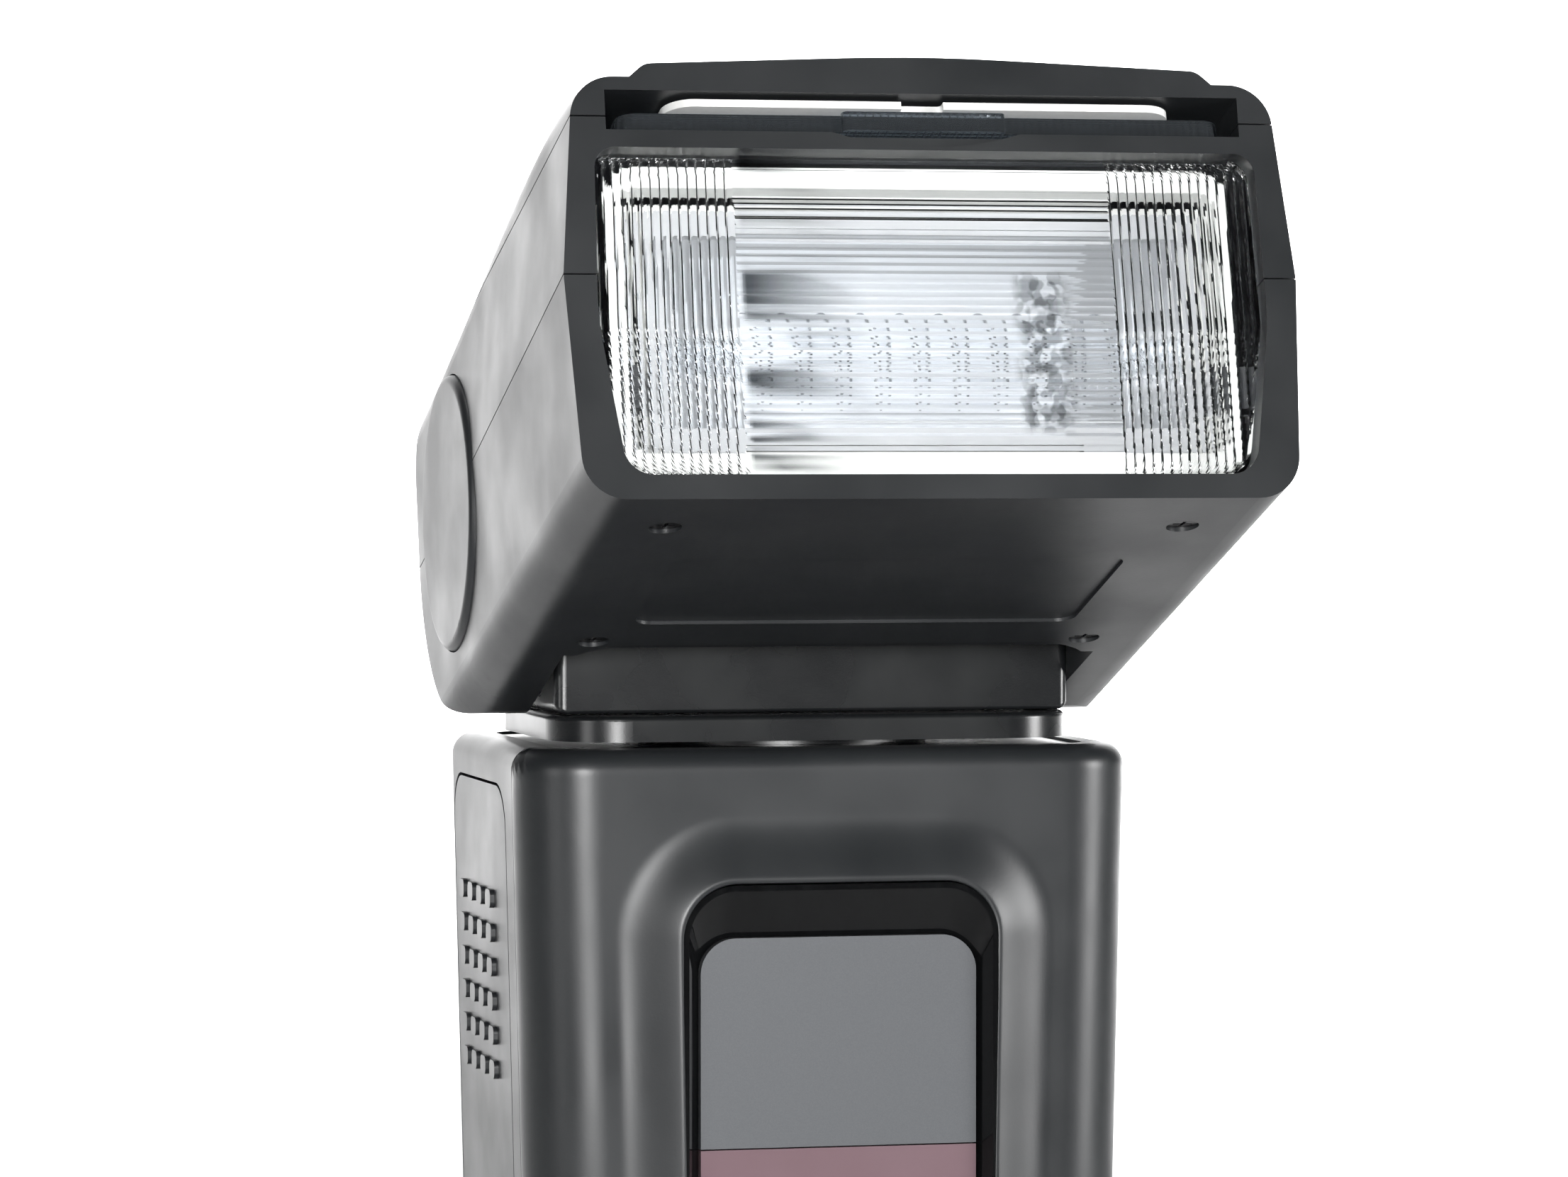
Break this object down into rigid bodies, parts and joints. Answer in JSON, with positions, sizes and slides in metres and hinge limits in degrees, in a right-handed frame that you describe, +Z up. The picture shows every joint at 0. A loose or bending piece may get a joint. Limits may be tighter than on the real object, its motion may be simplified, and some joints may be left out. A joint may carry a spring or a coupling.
{
  "type": "camera speedlight flash",
  "caption": "Shoe-mount camera flash with a tilting, swivelling zoom head, pull-out bounce card and wide panel, side battery door, rear display, dial and keys.",
  "frame": {"origin": "centre of the shoe foot's underside, on the swivel axis", "axes": "+Z up along the swivel axis, -Y the way the lamp and the red window face, +X to the right of someone facing the lamp"},
  "size_m": [0.076, 0.0986, 0.1667],
  "materials": {
    "housing_plastic": "fine spark-eroded texture, charcoal",
    "neck_plastic": "fine spark-eroded texture, darker charcoal",
    "gloss_frame": "polished black",
    "badge_satin": "satin mid grey, no marking",
    "red_window": "deep red transparent acrylic",
    "clear_lens": "clear moulded acrylic with fine prisms",
    "clear_panel": "clear moulded acrylic with a prism texture",
    "white_card": "white satin sheet",
    "plated_steel": "bright nickel plated",
    "black_steel": "black oxide screws",
    "foot_metal": "satin cast metal",
    "gold_contact": "gold plated",
    "reflector_metal": "bright rolled reflector sheet",
    "xenon_glass": "quartz glass tube",
    "pcb_green": "solder mask on glass fibre board",
    "capacitor_sleeve": "shrink sleeve",
    "ferrite": "sintered ferrite with taped winding",
    "black_rubber": "moulded rubber",
    "lens_grey_lcd": "reflective display glass",
    "display_window": "clear scratch-resistant acrylic",
    "inner_plastic": "natural nylon moulding",
    "tray_plastic": "moulded ABS",
    "key_rubber": "soft-touch key"
  },
  "bodies": {
    "body": {"body_front_shell": "housing_plastic", "body_rear_shell": "housing_plastic", "body_top_deck": "neck_plastic", "body_base_plate": "housing_plastic", "window_bezel": "gloss_frame", "badge_panel": "badge_satin", "sensor_window": "red_window", "af_assist_lamp": "pcb_green", "battery_tray": "tray_plastic", "tray_contacts": "plated_steel", "main_capacitor": "capacitor_sleeve", "main_board": "pcb_green", "power_transformer": "ferrite", "control_board": "pcb_green", "lcd_module": "lens_grey_lcd", "lcd_window": "display_window", "sync_jack": "plated_steel", "control_socket": "plated_steel", "shoe_foot": "foot_metal", "shoe_contact": "gold_contact", "case_screws": "black_steel"},
    "neck": {"neck_front_cover": "neck_plastic", "neck_rear_cover": "neck_plastic", "swivel_hub": "neck_plastic", "swivel_retainer": "plated_steel", "tilt_axle": "plated_steel"},
    "head": {"head_lower_shell": "housing_plastic", "head_upper_shell": "housing_plastic", "head_top_cover": "housing_plastic", "left_pivot_cap": "housing_plastic", "right_pivot_cap": "housing_plastic", "fresnel_lens": "clear_lens", "zoom_guide_rods": "plated_steel", "zoom_motor": "plated_steel", "trigger_board": "pcb_green", "head_screws": "black_steel"},
    "card": {"bounce_card": "white_card"},
    "panel": {"wide_panel": "clear_panel"},
    "carriage": {"zoom_carriage": "inner_plastic", "reflector": "reflector_metal", "flash_tube": "xenon_glass"},
    "screw": {"lead_screw": "plated_steel"},
    "runner": {"door_runner": "plated_steel", "door_hinge_pin": "plated_steel"},
    "door": {"battery_door": "housing_plastic", "door_contacts": "plated_steel"},
    "clamp": {"clamp_plate": "plated_steel", "lock_pin": "plated_steel"},
    "ring": {"lock_ring": "neck_plastic"},
    "cover": {"port_cover": "black_rubber"},
    "dial": {"select_dial": "neck_plastic"},
    "set": {"set_button": "key_rubber"},
    "power": {"power_switch": "neck_plastic"},
    "mode": {"mode_key": "key_rubber"},
    "slave": {"slave_key": "key_rubber"},
    "test": {"test_button": "key_rubber"},
    "key_1": {"function_key_1": "key_rubber"},
    "key_2": {"function_key_2": "key_rubber"},
    "key_3": {"function_key_3": "key_rubber"},
    "key_4": {"function_key_4": "key_rubber"}
  },
  "joints": [
    {"name": "head_swivel", "type": "hinge", "parent": "body", "child": "neck", "pos_m": [0, 0, 0.095], "axis": [0, 0, 1], "range_deg": [-180, 180]},
    {"name": "head_tilt", "type": "hinge", "parent": "neck", "child": "head", "pos_m": [0, 0, 0.12], "axis": [-1, 0, 0], "range_deg": [-20.2, 76.8]},
    {"name": "card_slide", "type": "slide", "parent": "head", "child": "card", "axis": [0, -0.9472, 0.3206], "range_m": [0, 0.038]},
    {"name": "wide_panel_slide", "type": "slide", "parent": "head", "child": "panel", "axis": [0, -0.9472, 0.3206], "range_m": [0, 0.037]},
    {"name": "zoom_slide", "type": "slide", "parent": "head", "child": "carriage", "axis": [0, 0.9736, -0.2284], "range_m": [0, 0.019]},
    {"name": "lead_screw_turn", "type": "hinge", "parent": "head", "child": "screw", "pos_m": [0.02, -0.05105, 0.12129], "axis": [0, 0.9736, -0.2284], "range_deg": [0, 2740]},
    {"name": "door_slide", "type": "slide", "parent": "body", "child": "runner", "axis": [0.024, 0, -0.9997], "range_m": [0, 0.004]},
    {"name": "door_swing", "type": "hinge", "parent": "runner", "child": "door", "pos_m": [-0.0299, 0.0024, 0.0176], "axis": [0, -1, 0], "range_deg": [0, 100]},
    {"name": "clamp_press", "type": "slide", "parent": "body", "child": "clamp", "axis": [0, 0, -1], "range_m": [0, 0.00121]},
    {"name": "lock_ring_turn", "type": "hinge", "parent": "clamp", "child": "ring", "pos_m": [0, 0, 0.009], "axis": [0, 0, 1], "range_deg": [0, 270]},
    {"name": "function_key_1_press", "type": "slide", "parent": "body", "child": "key_1", "axis": [0, -1, 0], "range_m": [0, 0.0005], "stiffness_N_per_m": 800},
    {"name": "function_key_2_press", "type": "slide", "parent": "body", "child": "key_2", "axis": [0, -1, 0], "range_m": [0, 0.0005], "stiffness_N_per_m": 800},
    {"name": "function_key_3_press", "type": "slide", "parent": "body", "child": "key_3", "axis": [0, -1, 0], "range_m": [0, 0.0005], "stiffness_N_per_m": 800},
    {"name": "function_key_4_press", "type": "slide", "parent": "body", "child": "key_4", "axis": [0, -1, 0], "range_m": [0, 0.0005], "stiffness_N_per_m": 800},
    {"name": "mode_key_press", "type": "slide", "parent": "body", "child": "mode", "axis": [0, -1, 0], "range_m": [0, 0.0005], "stiffness_N_per_m": 800},
    {"name": "slave_key_press", "type": "slide", "parent": "body", "child": "slave", "axis": [0, -1, 0], "range_m": [0, 0.0005], "stiffness_N_per_m": 800},
    {"name": "test_button_press", "type": "slide", "parent": "body", "child": "test", "axis": [0, -1, 0], "range_m": [0, 0.0005], "stiffness_N_per_m": 800},
    {"name": "set_button_press", "type": "slide", "parent": "body", "child": "set", "axis": [0, -1, 0], "range_m": [0, 0.0005], "stiffness_N_per_m": 800},
    {"name": "select_dial_turn", "type": "hinge", "parent": "body", "child": "dial", "pos_m": [0, 0.024, 0.033], "axis": [0, 1, 0], "continuous": true},
    {"name": "power_switch_slide", "type": "slide", "parent": "body", "child": "power", "axis": [1, 0, 0], "range_m": [0, 0.004]},
    {"name": "port_cover_swing", "type": "hinge", "parent": "body", "child": "cover", "pos_m": [0.03241, -0.007, 0.05565], "axis": [0, 1, 0], "range_deg": [0, 90], "stiffness_Nm_per_rad": 0.002}
  ],
  "couplings": [
    {"joint": "lead_screw_turn", "follows": "zoom_slide", "rad_per_m": 2513.3},
    {"joint": "clamp_press", "follows": "lock_ring_turn", "m_per_rad": 0.00025465}
  ]
}
